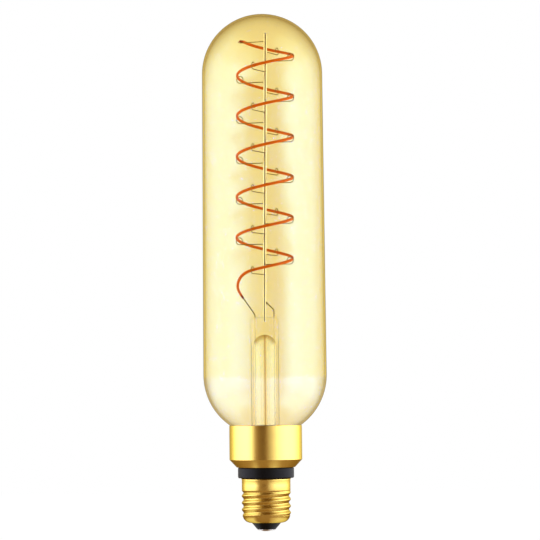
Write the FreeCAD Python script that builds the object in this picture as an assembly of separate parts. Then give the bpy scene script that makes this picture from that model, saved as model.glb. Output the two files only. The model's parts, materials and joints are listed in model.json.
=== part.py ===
import FreeCAD
import Part
import math
import os
from FreeCAD import Vector

# Tubular screw-cap bulb standing on its centre contact, all sizes in millimetres.
# The origin is the tip of the centre contact, +Z runs up the bulb's axis, -Y is the front.

# Centre contact and insulator in the end of the cap
contact_radius = 4.6
contact_thickness = 0.96
contact_flat_radius = 1.6
contact_edge = 0.3
eyelet_radius = 1.5
eyelet_head_radius = 2.4
eyelet_head_height = 0.6
insulator_tip_margin = 0.3
insulator_cone_height = 3.44
insulator_rim_margin = 0.5
insulator_dish = 1.2
insulator_gap = 0.05
insulator_top_gap = 0.6

# Screw shell: one drawn sheet with a rounded foot, a rolled thread, a plain skirt and a lip
shell_sheet = 0.3
thread_crest_radius = 13.1
thread_depth = 0.97
thread_pitch = 3.629
thread_height = 13.8
thread_crest_rise = 8.9
thread_rings_per_turn = 7
thread_run_out = 1.6
foot_inset = 0.45
foot_edge_inset = 4.8
foot_height = 3.6
foot_bulge = 1.0
skirt_inset = 0.15
skirt_height = 5.3
lip_flare = 0.3
lip_height = 1.1

# Driver housing: a black moulding with a sleeve in the shell, the visible flange and a spigot above
sleeve_gap = 0.1
sleeve_wall = 1.6
skirt_seat_gap = 0.05
shoulder_rise = 0.4
flange_overhang = 1.7
flange_height = 5.6
flange_edge = 0.4
spigot_wall = 2.4
spigot_height = 5.8
slot_depth = 0.8
board_slot_gap = 0.05

# Collar: a pressed metal cup that holds the neck
collar_wall = 0.5
collar_height = 22.2
collar_foot_overhang = 0.65
collar_chamfer_width = 3.8
collar_chamfer_height = 4.1
collar_floor_gap = 0.1
collar_seat_gap = 0.05

# Glass envelope: a blown tube, a touch wider at the foot, closed by a dome
tube_foot_radius = 32.9
tube_top_radius = 32.2
tube_length = 161.0
envelope_wall = 0.9
neck_blend_radius = 3.0
neck_clearance = 0.25

# Cement ring between the neck and the collar
cement_thickness = 2.4
cement_foot_gap = 3.4
cement_top_gap = 0.6

# Stem: a flared tube whose top is pinched flat round the wires
stem_tube_radius = 7.45
stem_wall = 1.15
stem_height = 72.7
flare_rim_width = 0.9
press_thickness = 5.8
press_length = 9.7
pinch_length = 7.0
pinch_hollow = 0.57
press_corner_radius = 1.6
press_solid_height = 9.3

# Exhaust tube inside the stem, melted shut at its lower end
exhaust_radius = 2.25
exhaust_bore_radius = 1.1
exhaust_drop = 6.0
exhaust_tip_wall = 2.5
vent_radius = 0.8
vent_rise = 2.4

# Mast that carries the hooks and feeds the filament's top end
mast_radius = 1.0
mast_top_clearance = 9.2
mast_embed = 2.2
mast_edge = 0.25
mount_lean = 0.72

# Filament: one soft light strip wound as a right-handed helix, with a free tail at its foot
helix_radius = 15.0
helix_turns = 5.75
helix_top_angle = 155.0
helix_top_drop = 2.7
helix_foot_rise = 24.7
coil_end_angle = 120.0
strip_end_angle = 147.0
strip_end_rise = 1.25
filament_height = 1.5
filament_width = 1.15
filament_corner = 0.32
tail_bend_x = -14.1
tail_bend_y = -5.0
tail_bend_rise = 18.1
tail_end_x = -12.3
tail_end_rise = 11.6
terminal_radius = 0.62
terminal_length = 1.8
terminal_pin_radius = 0.3
terminal_pin_length = 2.0
terminal_pin_droop = 0.4

# Hooks: thin wires from the mast, each curled into an open ring round the filament
hooks_per_turn = 4
hook_wire_diameter = 0.46
hook_ring_radius = 1.85
hook_curl_angle = 290.0
support_overhang = 0.8

# Lead wires through the press, down the stem to the driver board
lead_wire_diameter = 0.55
lead_spacing = 10.2
left_lead_slope = 55.2
left_lead_bend = 3.0
right_weld_rise = 7.8
right_lead_slope = 43.0
right_lead_bend = 1.4
weld_bead_radius = 0.6
lead_lap = 4.5

# Driver board and what is soldered to it
board_thickness = 1.2
board_foot_gap = 1.4
board_tip_gap = 1.5
chip_length = 4.9
chip_width = 3.9
chip_height = 1.5
chip_drop = 4.0
chip_legs_per_side = 4
chip_leg_pitch = 1.27
rectifier_length = 4.7
rectifier_width = 3.9
rectifier_height = 2.4
rectifier_lead_gap = 2.1
rectifier_leg_pitch = 2.54
leg_width = 0.5
leg_reach = 1.0
leg_thickness = 0.25
part_bore_gap = 0.6
capacitor_length = 12.0
capacitor_rise = 2.5
capacitor_groove = 0.35
capacitor_groove_rise = 1.4
capacitor_lead_spacing = 3.5
part_lead_diameter = 0.5
inductor_radius = 3.2
inductor_length = 7.0
inductor_winding_gap = 0.5
inductor_flange = 0.9
inductor_rise = 7.0
resistor_radius = 1.2
resistor_length = 6.5
resistor_rise = 4.0
resistor_x = 5.0
resistor_lead_drop = 2.2
feed_wire_diameter = 0.5
live_wire_upright = 2.0
neutral_wire_x = -4.0
neutral_lap = 3.5
neutral_tuck = 7.0
neutral_run_gap = 0.35
notch_gap = 0.1

# Radii worked out from the sizes above, from the thread outwards and inwards
thread_root_radius = thread_crest_radius - thread_depth
thread_middle_radius = thread_crest_radius - thread_depth / 2
foot_top_radius = thread_crest_radius - foot_inset
foot_edge_radius = thread_crest_radius - foot_edge_inset
skirt_radius = thread_crest_radius - skirt_inset
lip_radius = skirt_radius + lip_flare
insulator_tip_radius = contact_radius + insulator_tip_margin
insulator_rim_radius = foot_edge_radius - insulator_rim_margin
shoulder_radius = skirt_radius - shell_sheet - skirt_seat_gap
sleeve_radius = thread_root_radius - shell_sheet - sleeve_gap
housing_bore_radius = sleeve_radius - sleeve_wall
spigot_radius = housing_bore_radius + spigot_wall
flange_radius = lip_radius + flange_overhang
collar_foot_radius = flange_radius + collar_foot_overhang
collar_radius = collar_foot_radius + collar_chamfer_width
collar_bore_radius = collar_radius - collar_wall
neck_radius = collar_bore_radius - cement_thickness
stem_bore_radius = stem_tube_radius - stem_wall
flare_radius = neck_radius - flare_rim_width - stem_tube_radius

# Heights worked out from the tip of the centre contact upwards
foot_edge_height = contact_thickness + insulator_cone_height
thread_bottom_height = foot_edge_height + foot_height
thread_top_height = thread_bottom_height + thread_height
thread_crest_height = thread_bottom_height + thread_crest_rise
insulator_top_height = thread_bottom_height - insulator_top_gap
eyelet_seat_height = insulator_top_height - insulator_dish
eyelet_top_height = eyelet_seat_height + eyelet_head_height
lip_bottom_height = thread_top_height + skirt_height
flange_bottom_height = lip_bottom_height + lip_height
flange_top_height = flange_bottom_height + flange_height
spigot_top_height = flange_top_height + spigot_height
neutral_run_height = insulator_top_height + neutral_run_gap + feed_wire_diameter / 2
sleeve_bottom_height = neutral_run_height + neutral_run_gap + feed_wire_diameter / 2
shoulder_bottom_height = thread_top_height + shoulder_rise
collar_floor_height = flange_top_height + collar_floor_gap
collar_top_height = collar_floor_height + collar_height
neck_end_height = spigot_top_height + neck_clearance + stem_wall
foot_centre_height = collar_top_height + math.sqrt(
    (tube_foot_radius + collar_seat_gap) ** 2 - collar_bore_radius ** 2
)
neck_top_height = foot_centre_height - math.sqrt(
    (tube_foot_radius + neck_blend_radius) ** 2 - (neck_radius + neck_blend_radius) ** 2
)
dome_centre_height = foot_centre_height + tube_length
dome_top_height = dome_centre_height + tube_top_radius
flare_top_height = neck_end_height + flare_radius
press_top_height = neck_end_height + stem_height
hollow_top_height = press_top_height - press_solid_height
exhaust_tip_height = neck_end_height - exhaust_drop
mast_top_height = dome_top_height - envelope_wall - mast_top_clearance
helix_top_height = mast_top_height - helix_top_drop
helix_foot_height = press_top_height + helix_foot_rise
helix_pitch = (helix_top_height - helix_foot_height) / helix_turns
helix_foot_angle = helix_top_angle - 360 * helix_turns
board_bottom_height = sleeve_bottom_height + board_foot_gap
board_top_height = exhaust_tip_height - board_tip_gap
lead_end_height = board_top_height - lead_lap

# Places across the board, which stands just in front of the lead wires
lead_x = lead_spacing / 2
board_back_y = -lead_wire_diameter / 2
board_front_y = board_back_y - board_thickness
board_half_width = housing_bore_radius + slot_depth - board_slot_gap
resistor_y = board_back_y + resistor_radius
Z_AXIS = Vector(0, 0, 1)
ORIGIN = Vector(0, 0, 0)


def point(radius, height):
    """A point of a profile in the XZ plane, which is spun round the axis."""
    return Vector(radius, 0, height)


def line(start, end):
    return Part.LineSegment(start, end).toShape()


def arc(start, middle, end):
    return Part.Arc(start, middle, end).toShape()


def arc_about(centre, radius, from_angle, to_angle):
    """An arc in the XZ plane about a centre, its angles measured in degrees from +X towards +Z."""
    places = []
    for angle in (from_angle, (from_angle + to_angle) / 2, to_angle):
        turn = math.radians(angle)
        places.append(centre + Vector(radius * math.cos(turn), 0, radius * math.sin(turn)))
    return arc(*places)


def chain(points):
    """Straight edges through points that close on the first."""
    return Part.makePolygon(points + [points[0]]).Edges


def spun(edges):
    """A solid of revolution about the bulb's axis."""
    return Part.Face(Part.Wire(edges)).revolve(ORIGIN, Z_AXIS, 360)


def tube(outer, inner, bottom, top):
    """A plain ring or tube about the axis."""
    return spun(chain([point(inner, bottom), point(outer, bottom), point(outer, top), point(inner, top)]))


def block(x_range, y_range, z_range):
    """A box between pairs of coordinates."""
    low = Vector(x_range[0], y_range[0], z_range[0])
    return Part.makeBox(x_range[1] - low.x, y_range[1] - low.y, z_range[1] - low.z, low)


def routed(points, bend):
    """A path of straight runs whose corners are rounded by arcs of one radius."""
    edges = []
    start = points[0]
    for corner, after in zip(points[1:-1], points[2:]):
        back = (start - corner).normalize()
        ahead = (after - corner).normalize()
        half_opening = back.getAngle(ahead) / 2
        reach = bend / math.tan(half_opening)
        arc_start = corner + back * reach
        arc_end = corner + ahead * reach
        bisector = (back + ahead).normalize()
        arc_middle = corner + bisector * (bend / math.sin(half_opening) - bend)
        edges.append(line(start, arc_start))
        edges.append(arc(arc_start, arc_middle, arc_end))
        start = arc_end
    edges.append(line(start, points[-1]))
    return Part.Wire(edges)


def swept(path, section):
    """A closed section carried along a path, square to it."""
    pipe = Part.BRepOffsetAPI.MakePipeShell(path)
    pipe.add(section)
    pipe.build()
    pipe.makeSolid()
    return pipe.shape()


def wire_along(path, diameter):
    """Round wire along a path."""
    start = path.OrderedEdges[0]
    heading = start.tangentAt(start.FirstParameter)
    circle = Part.makeCircle(diameter / 2, start.valueAt(start.FirstParameter), heading)
    return swept(path, Part.Wire([circle]))


def rod(start, direction, length, radius):
    return Part.makeCylinder(radius, length, start, direction)


def envelope_outline(inset):
    """Half outline of the glass from its top down to the neck's end, moved inwards by the inset."""
    top_radius = tube_top_radius - inset
    foot_radius = tube_foot_radius - inset
    blend_radius = neck_blend_radius + inset
    dome_centre = point(0, dome_centre_height)
    foot_centre = point(0, foot_centre_height)
    blend_centre = point(neck_radius + neck_blend_radius, neck_top_height)
    blend_angle = math.degrees(math.atan2(neck_top_height - foot_centre_height, blend_centre.x))
    neck_top = blend_centre - Vector(blend_radius, 0, 0)
    return [
        arc_about(dome_centre, top_radius, 90, 0),
        line(dome_centre + Vector(top_radius, 0, 0), foot_centre + Vector(foot_radius, 0, 0)),
        arc_about(foot_centre, foot_radius, 0, blend_angle),
        arc_about(blend_centre, blend_radius, 180 + blend_angle, 180),
        line(neck_top, point(neck_top.x, neck_end_height)),
    ]


def glass_envelope():
    outside = envelope_outline(0)
    inside = envelope_outline(envelope_wall)
    top_outside = point(0, dome_top_height)
    top_inside = top_outside - Z_AXIS * envelope_wall
    neck_inner_radius = neck_radius - envelope_wall
    rim = line(point(neck_radius, neck_end_height), point(neck_inner_radius, neck_end_height))
    return spun(outside + [rim] + inside[::-1] + [line(top_inside, top_outside)])


def pinched(radius, half_thickness, bottom, top):
    """A round bar flattened front and back above the pinch, as tongs leave hot glass."""
    press_bottom = press_top_height - press_length
    pinch_bottom = press_bottom - pinch_length
    bar = Part.makeCylinder(radius, top - bottom, point(0, bottom))
    reach = radius + 1
    lean = math.atan2(pinch_length, radius - half_thickness)
    shoulder = Vector(0, (radius + half_thickness) / 2, (pinch_bottom + press_bottom) / 2)
    shoulder += Vector(0, math.sin(lean), math.cos(lean)) * pinch_hollow
    for side in (1, -1):
        start = Vector(-reach, side * radius, pinch_bottom)
        middle = Vector(-reach, side * shoulder.y, shoulder.z)
        end = Vector(-reach, side * half_thickness, press_bottom)
        upper = Vector(-reach, side * half_thickness, top + 1)
        outer_top = Vector(-reach, side * reach, top + 1)
        outer_bottom = Vector(-reach, side * reach, pinch_bottom)
        edges = [arc(start, middle, end)]
        edges.append(line(end, upper))
        edges.append(line(upper, outer_top))
        edges.append(line(outer_top, outer_bottom))
        edges.append(line(outer_bottom, start))
        bar = bar.cut(Part.Face(Part.Wire(edges)).extrude(Vector(2 * reach, 0, 0)))
    return bar


def arched(half_width, crown_half_width, bottom, top, corner, depth):
    """A slab from front to back whose top corners are rounded, seen from the front."""
    foot_left = Vector(-half_width, -depth, bottom)
    side_left = Vector(-half_width, -depth, top - corner)
    crown_left = Vector(-crown_half_width, -depth, top)
    crown_right = Vector(crown_half_width, -depth, top)
    side_right = Vector(half_width, -depth, top - corner)
    foot_right = Vector(half_width, -depth, bottom)
    bulge_x = crown_half_width + (half_width - crown_half_width) * math.sin(math.radians(45))
    bulge_z = top - corner * (1 - math.cos(math.radians(45)))
    edges = [line(foot_left, side_left)]
    edges.append(arc(side_left, Vector(-bulge_x, -depth, bulge_z), crown_left))
    if crown_half_width > 0:
        edges.append(line(crown_left, crown_right))
    edges.append(arc(crown_right, Vector(bulge_x, -depth, bulge_z), side_right))
    edges.append(line(side_right, foot_right))
    edges.append(line(foot_right, foot_left))
    return Part.Face(Part.Wire(edges)).extrude(Vector(0, 2 * depth, 0))


def stem_hollow():
    """The space inside the stem, round below and a flat arched pocket in the press."""
    bottom = flare_top_height
    top = hollow_top_height
    arch = stem_bore_radius
    bar = pinched(arch, press_thickness / 2 - stem_wall, bottom, top)
    return bar.common(arched(arch, 0, bottom, top, arch, arch))


def vent():
    """The way for the air from the exhaust bore out through the back of the press."""
    rise_top = hollow_top_height + vent_rise
    shaft = Part.makeCylinder(exhaust_bore_radius, vent_rise, point(0, hollow_top_height))
    side = rod(Vector(0, 0, rise_top - vent_radius), Vector(0, 1, 0), stem_tube_radius, vent_radius)
    return shaft.fuse(side)


def stem_glass(passing):
    """Flare, tube and press in one, less the hollow, the vent and the metal that passes through."""
    bottom = flare_top_height
    top = press_top_height
    crown = stem_tube_radius - press_corner_radius
    bar = pinched(stem_tube_radius, press_thickness / 2, bottom, top)
    bar = bar.common(arched(stem_tube_radius, crown, bottom, top, press_corner_radius, stem_tube_radius))
    bar = bar.cut(stem_hollow()).cut(vent())
    bend_radius = neck_radius - flare_rim_width
    bend = point(bend_radius, bottom)
    rim_bottom = neck_end_height - stem_wall
    edges = [arc_about(bend, flare_radius, 180, 270)]
    edges.append(line(point(bend_radius, neck_end_height), point(neck_radius, neck_end_height)))
    edges.append(line(point(neck_radius, neck_end_height), point(neck_radius, rim_bottom)))
    edges.append(line(point(neck_radius, rim_bottom), point(bend_radius, rim_bottom)))
    edges.append(arc_about(bend, flare_radius + stem_wall, 270, 180))
    edges.append(line(point(stem_bore_radius, bottom), point(stem_tube_radius, bottom)))
    glass = bar.fuse(spun(edges)).removeSplitter()
    for piece in passing:
        glass = glass.cut(piece)
    return glass


def exhaust_tube():
    """Thin tube whose top is pressed into the pinch and whose tip is melted shut."""
    side_bottom = exhaust_tip_height + exhaust_radius
    bore_bottom = exhaust_tip_height + exhaust_tip_wall
    edges = [arc_about(point(0, side_bottom), exhaust_radius, 270, 360)]
    edges.append(line(point(exhaust_radius, side_bottom), point(exhaust_radius, hollow_top_height)))
    edges.append(line(point(exhaust_radius, hollow_top_height), point(exhaust_bore_radius, hollow_top_height)))
    bore_side = bore_bottom + exhaust_bore_radius
    edges.append(line(point(exhaust_bore_radius, hollow_top_height), point(exhaust_bore_radius, bore_side)))
    edges.append(arc_about(point(0, bore_side), exhaust_bore_radius, 360, 270))
    edges.append(line(point(0, bore_bottom), point(0, exhaust_tip_height)))
    whole = spun(edges)
    below = Part.makeCylinder(
        stem_bore_radius, flare_top_height - exhaust_tip_height, point(0, exhaust_tip_height)
    )
    return whole.common(stem_hollow().fuse(below))


def mast():
    bottom = press_top_height - mast_embed
    rounding = mast_top_height - mast_edge
    edges = [line(point(0, bottom), point(mast_radius, bottom))]
    edges.append(line(point(mast_radius, bottom), point(mast_radius, rounding)))
    edges.append(line(point(mast_radius, rounding), point(mast_radius - mast_edge, mast_top_height)))
    edges.append(line(point(mast_radius - mast_edge, mast_top_height), point(0, mast_top_height)))
    edges.append(line(point(0, mast_top_height), point(0, bottom)))
    return spun(edges)


def helix_point(angle):
    """Centre of the filament at an angle about the axis, which falls with each turn."""
    turn = math.radians(angle)
    height = helix_top_height + helix_pitch * (angle - helix_top_angle) / 360
    return Vector(helix_radius * math.cos(turn), helix_radius * math.sin(turn), height)


def helix_heading(angle):
    """Direction of the filament there, going up."""
    turn = math.radians(angle)
    rise = helix_pitch / (2 * math.pi)
    return Vector(-helix_radius * math.sin(turn), helix_radius * math.cos(turn), rise).normalize()


def strip_section(centre, outward, upward):
    """The strip's cross-section, a rectangle with cut corners."""
    across = filament_width / 2
    high = filament_height / 2
    across_flat = across - filament_corner
    high_flat = high - filament_corner
    corners = []
    for a, b in (
        (across, high_flat), (across_flat, high), (-across_flat, high), (-across, high_flat),
        (-across, -high_flat), (-across_flat, -high), (across_flat, -high), (across, -high_flat),
    ):
        corners.append(centre + outward * a + upward * b)
    return Part.Wire(chain(corners))


def left_lead_heading():
    slope = math.radians(left_lead_slope)
    return Vector(math.cos(slope), 0, -math.sin(slope))


def strip_end():
    """The strip's top end, held a little lower than the helix would reach."""
    turn = math.radians(strip_end_angle)
    height = helix_point(coil_end_angle).z + strip_end_rise
    return Vector(helix_radius * math.cos(turn), helix_radius * math.sin(turn), height)


def strip_end_heading():
    turn = math.radians(strip_end_angle)
    return Vector(-math.sin(turn), math.cos(turn), 0)


def tail_end():
    return Vector(tail_end_x, 0, press_top_height + tail_end_rise)


def free_strip(points, start_heading, end_heading, section):
    """A stretch of the strip that leaves the helix and bends through points."""
    curve = Part.BSplineCurve()
    curve.interpolate(Points=points, InitialTangent=start_heading, FinalTangent=end_heading)
    return swept(Part.Wire([curve.toShape()]), section)


def helix_section(angle):
    """The strip's section at an angle, and the strip's centre there."""
    centre = helix_point(angle)
    outward = Vector(centre.x, centre.y, 0).normalize()
    return strip_section(centre, outward, outward.cross(helix_heading(angle))), centre


def filament():
    """The wound strip, its bent top end and the free tail that leads to the left lead wire."""
    coil_height = helix_point(coil_end_angle).z - helix_foot_height
    coil = Part.makeHelix(helix_pitch, coil_height, helix_radius)
    coil.rotate(ORIGIN, Z_AXIS, helix_foot_angle)
    coil.translate(Z_AXIS * helix_foot_height)
    foot_section, foot = helix_section(helix_foot_angle)
    top_section, top = helix_section(coil_end_angle)
    pipe = Part.BRepOffsetAPI.MakePipeShell(Part.Wire(coil.Edges))
    pipe.setFrenetMode(True)
    pipe.add(foot_section)
    pipe.build()
    pipe.makeSolid()
    bend = Vector(tail_bend_x, tail_bend_y, press_top_height + tail_bend_rise)
    down = helix_heading(helix_foot_angle) * -1
    tail = free_strip([foot, bend, tail_end()], down, left_lead_heading(), foot_section)
    up = helix_heading(coil_end_angle)
    head = free_strip([top, strip_end()], up, strip_end_heading(), top_section)
    return pipe.shape().fuse([tail, head]).removeSplitter()


def filament_terminal_top():
    """Metal sleeve crimped on the strip's top end, with its drooping pin."""
    heading = strip_end_heading()
    sleeve = rod(strip_end(), heading, terminal_length, terminal_radius)
    pin_heading = (heading - Z_AXIS * terminal_pin_droop).normalize()
    pin_start = strip_end() + heading * (terminal_length - terminal_pin_radius)
    pin = rod(pin_start, pin_heading, terminal_pin_length, terminal_pin_radius)
    return sleeve.fuse(pin)


def filament_terminal_bottom():
    return rod(tail_end(), left_lead_heading(), terminal_length, terminal_radius)


def hexagon(centre, diameter, first, second):
    """A six-sided bar section across two directions."""
    corners = []
    for index in range(6):
        turn = math.radians(60 * index + 30)
        corners.append(centre + (first * math.cos(turn) + second * math.sin(turn)) * (diameter / 2))
    return Part.Wire(chain(corners))


def hook(angle, rod_body):
    """A wire from the mast, straight out under the strip and curled over it into an open ring."""
    centre = helix_point(angle)
    ring_bottom = centre.z - hook_ring_radius
    ring_centre = point(helix_radius, centre.z)
    start = point(0, ring_bottom)
    path = Part.Wire([
        line(start, point(helix_radius, ring_bottom)),
        arc_about(ring_centre, hook_ring_radius, -90, -90 + hook_curl_angle),
    ])
    section = hexagon(start, hook_wire_diameter, Vector(0, 1, 0), Z_AXIS)
    piece = swept(path, section)
    piece.rotate(ORIGIN, Z_AXIS, angle)
    return piece.cut(rod_body)


def top_support_wire(rod_body):
    """The wire from the mast that carries the strip's top terminal and feeds it."""
    meeting = strip_end() + strip_end_heading() * (terminal_length / 2)
    height = meeting.z - terminal_radius - hook_wire_diameter / 2
    outward = Vector(meeting.x, meeting.y, 0)
    length = outward.Length + support_overhang
    piece = rod(Vector(0, 0, height), outward.normalize(), length, hook_wire_diameter / 2)
    return piece.cut(rod_body)


def leaned(shape):
    """A shape of the mast's group, tipped sideways about the press as the mast stands in it."""
    return shape.rotated(point(0, press_top_height), Vector(0, 1, 0), mount_lean)


def leaned_point(place):
    """A place of the mast's group where the leaning mast carries it."""
    return leaned(Part.Vertex(place)).Point


def lead_wire_left(sleeve):
    """From the filament's bottom terminal down through the press to the board."""
    heading = left_lead_heading()
    start = leaned_point(tail_end() + heading * terminal_length)
    fall = (-lead_x - start.x) / heading.x * heading.z
    corner = Vector(-lead_x, 0, start.z + fall)
    path = routed([start, corner, Vector(-lead_x, 0, lead_end_height)], left_lead_bend)
    return wire_along(path, lead_wire_diameter).cut(sleeve)


def lead_wire_right(rod_body):
    """From the weld on the mast down through the press to the board."""
    slope = math.radians(right_lead_slope)
    weld = leaned_point(point(mast_radius, press_top_height + right_weld_rise))
    start = weld + Vector(-mast_radius, 0, mast_radius * math.tan(slope))
    corner = Vector(lead_x, 0, start.z - (lead_x - start.x) * math.tan(slope))
    path = routed([start, corner, Vector(lead_x, 0, lead_end_height)], right_lead_bend)
    wire = wire_along(path, lead_wire_diameter)
    bead = Part.makeSphere(weld_bead_radius, weld)
    return wire.fuse(bead).cut(rod_body)


def collar():
    """Pressed cup: a floor on the flange, a chamfer, a straight wall and a bare top edge."""
    floor = collar_floor_height
    bend = floor + collar_chamfer_height
    inner_floor_radius = spigot_radius + skirt_seat_gap
    chamfer_angle = math.atan2(collar_chamfer_height, collar_chamfer_width)
    bend_shift = collar_wall * math.tan((math.pi / 2 - chamfer_angle) / 2)
    foot_shift = collar_wall * math.tan(chamfer_angle / 2)
    return spun(chain([
        point(inner_floor_radius, floor),
        point(collar_foot_radius, floor),
        point(collar_radius, bend),
        point(collar_radius, collar_top_height),
        point(collar_bore_radius, collar_top_height),
        point(collar_bore_radius, bend + bend_shift),
        point(collar_foot_radius - foot_shift, floor + collar_wall),
        point(inner_floor_radius, floor + collar_wall),
    ]))


def basing_cement():
    """Cement between the straight neck and the collar."""
    bottom = neck_end_height + cement_foot_gap
    return tube(collar_bore_radius, neck_radius, bottom, neck_top_height - cement_top_gap)


def driver_housing():
    """Black moulding: sleeve and shoulder in the screw shell, the flange, the spigot in the collar."""
    bore = housing_bore_radius
    body = spun(chain([
        point(bore, sleeve_bottom_height),
        point(sleeve_radius, sleeve_bottom_height),
        point(sleeve_radius, shoulder_bottom_height),
        point(shoulder_radius, shoulder_bottom_height),
        point(shoulder_radius, flange_bottom_height),
        point(flange_radius - flange_edge, flange_bottom_height),
        point(flange_radius, flange_bottom_height + flange_edge),
        point(flange_radius, flange_top_height - flange_edge),
        point(flange_radius - flange_edge, flange_top_height),
        point(spigot_radius, flange_top_height),
        point(spigot_radius, spigot_top_height - flange_edge),
        point(spigot_radius - flange_edge, spigot_top_height),
        point(bore, spigot_top_height),
    ]))
    reach = board_half_width + board_slot_gap
    slot_y = (board_front_y - board_slot_gap, board_back_y + board_slot_gap)
    slot = block((-reach, reach), slot_y, (sleeve_bottom_height, board_top_height + board_slot_gap))
    half_notch = feed_wire_diameter / 2 + notch_gap
    notch_x = (neutral_wire_x - half_notch, neutral_wire_x + half_notch)
    notch_y = (neutral_wire_y() - half_notch, sleeve_radius)
    notch_top = neutral_run_height + neutral_tuck + notch_gap
    notch = block(notch_x, notch_y, (sleeve_bottom_height, notch_top))
    return body.cut(slot).cut(notch)


def thread_ring(height, inset):
    """The shell's round at a height: in the thread it is off-centre by half the depth, and it turns."""
    from_end = min(thread_top_height - height, height - thread_bottom_height)
    depth_share = max(0.0, min(1.0, from_end / thread_run_out))
    plain_radius = skirt_radius if height > thread_crest_height else foot_top_radius
    radius = thread_middle_radius * depth_share + plain_radius * (1 - depth_share)
    offset = thread_depth / 2 * depth_share
    turn = 2 * math.pi * (height - thread_crest_height) / thread_pitch
    centre = Vector(offset * math.cos(turn), offset * math.sin(turn), height)
    return Part.Wire([Part.makeCircle(radius - inset, centre, Z_AXIS)])


def thread_body(inset):
    """The thread as a stack of off-centre rings joined by ruled bands."""
    count = math.ceil(thread_height / thread_pitch * thread_rings_per_turn)
    rings = []
    for index in range(count + 1):
        rings.append(thread_ring(thread_bottom_height + thread_height * index / count, inset))
    return Part.makeLoft(rings, True, True)


def foot_arc(inset):
    """The shell's rounded foot from the thread down to the insulator's edge."""
    top = point(foot_top_radius - inset, thread_bottom_height)
    end = point(foot_edge_radius - inset * math.sin(math.radians(45)), foot_edge_height + inset)
    chord = end - top
    outward = Vector(-chord.z, 0, chord.x).normalize()
    bulge = (top + end) / 2 + outward * foot_bulge
    return arc(top, bulge, end)


def cap_shell():
    """Drawn sheet shell: lip and skirt above, rolled thread between, rounded foot below."""
    lip_top_height = flange_bottom_height - skirt_seat_gap
    skirt = spun(chain([
        point(skirt_radius - shell_sheet, thread_top_height),
        point(skirt_radius, thread_top_height),
        point(skirt_radius, lip_bottom_height),
        point(lip_radius, lip_top_height),
        point(lip_radius - shell_sheet, lip_top_height),
        point(skirt_radius - shell_sheet, lip_bottom_height),
    ]))
    thread = thread_body(0).cut(thread_body(shell_sheet))
    outer_foot = foot_arc(0)
    inner_foot = foot_arc(shell_sheet)
    outer_end = outer_foot.Vertexes[-1].Point
    inner_end = inner_foot.Vertexes[-1].Point
    outer_top = outer_foot.Vertexes[0].Point
    inner_top = inner_foot.Vertexes[0].Point
    foot = spun([outer_foot, line(outer_end, inner_end), inner_foot, line(inner_top, outer_top)])
    return skirt.fuse([thread, foot])


def cap_insulator():
    """Moulded insulator: a cone below the shell and a bowl that fills its foot."""
    foot = foot_arc(shell_sheet + insulator_gap)
    edge = foot.Vertexes[-1].Point
    rim_angle = math.asin((insulator_top_height - edge.z) / (thread_bottom_height - edge.z))
    top_radius = edge.x + (foot_top_radius - shell_sheet - insulator_gap - edge.x) * math.sin(rim_angle)
    return spun(chain([
        point(eyelet_radius, contact_thickness),
        point(insulator_tip_radius, contact_thickness),
        point(insulator_rim_radius, foot_edge_height),
        point(insulator_rim_radius, edge.z),
        point(edge.x, edge.z),
        point(top_radius, insulator_top_height),
        point(eyelet_head_radius, eyelet_seat_height),
        point(eyelet_radius, eyelet_seat_height),
    ]))


def centre_contact():
    """Shallow domed contact with the eyelet that is riveted through the insulator."""
    side = contact_thickness - contact_edge
    swell = point((contact_flat_radius + contact_radius) / 2, side / 2 - contact_edge / 2)
    edges = [line(point(0, 0), point(contact_flat_radius, 0))]
    edges.append(arc(point(contact_flat_radius, 0), swell, point(contact_radius, side)))
    rest = [
        point(contact_radius, side),
        point(contact_radius, contact_thickness),
        point(eyelet_radius, contact_thickness),
        point(eyelet_radius, eyelet_seat_height),
        point(eyelet_head_radius, eyelet_seat_height),
        point(eyelet_radius, eyelet_top_height),
        point(0, eyelet_top_height),
        point(0, 0),
    ]
    return spun(edges + [line(a, b) for a, b in zip(rest, rest[1:])])


def driver_board():
    """Board that stands in two slots of the housing."""
    x_range = (-board_half_width, board_half_width)
    return block(x_range, (board_front_y, board_back_y), (board_bottom_height, board_top_height))


def legged_chip(size, legs_per_side, leg_pitch, middle, face_y, outward):
    """A moulded chip on a face of the board, with a row of legs along each side."""
    length, width, height = size
    near = min(face_y, face_y + outward * height)
    far = max(face_y, face_y + outward * height)
    along = (middle.z - length / 2, middle.z + length / 2)
    body = block((middle.x - width / 2, middle.x + width / 2), (near, far), along)
    leg_near = min(face_y, face_y + outward * leg_thickness)
    leg_far = max(face_y, face_y + outward * leg_thickness)
    half_reach = width / 2 + leg_reach
    for index in range(legs_per_side):
        height_of_leg = middle.z + (index - (legs_per_side - 1) / 2) * leg_pitch
        leg_z = (height_of_leg - leg_width / 2, height_of_leg + leg_width / 2)
        body = body.fuse(block((middle.x - half_reach, middle.x + half_reach), (leg_near, leg_far), leg_z))
    return body.removeSplitter()


def driver_chip():
    middle = Vector(0, 0, board_top_height - chip_drop)
    size = (chip_length, chip_width, chip_height)
    return legged_chip(size, chip_legs_per_side, chip_leg_pitch, middle, board_front_y, -1)


def bridge_rectifier():
    height = lead_end_height - rectifier_lead_gap - rectifier_length / 2
    middle = Vector(lead_x, 0, height)
    size = (rectifier_length, rectifier_width, rectifier_height)
    return legged_chip(size, 2, rectifier_leg_pitch, middle, board_back_y, 1)


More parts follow.
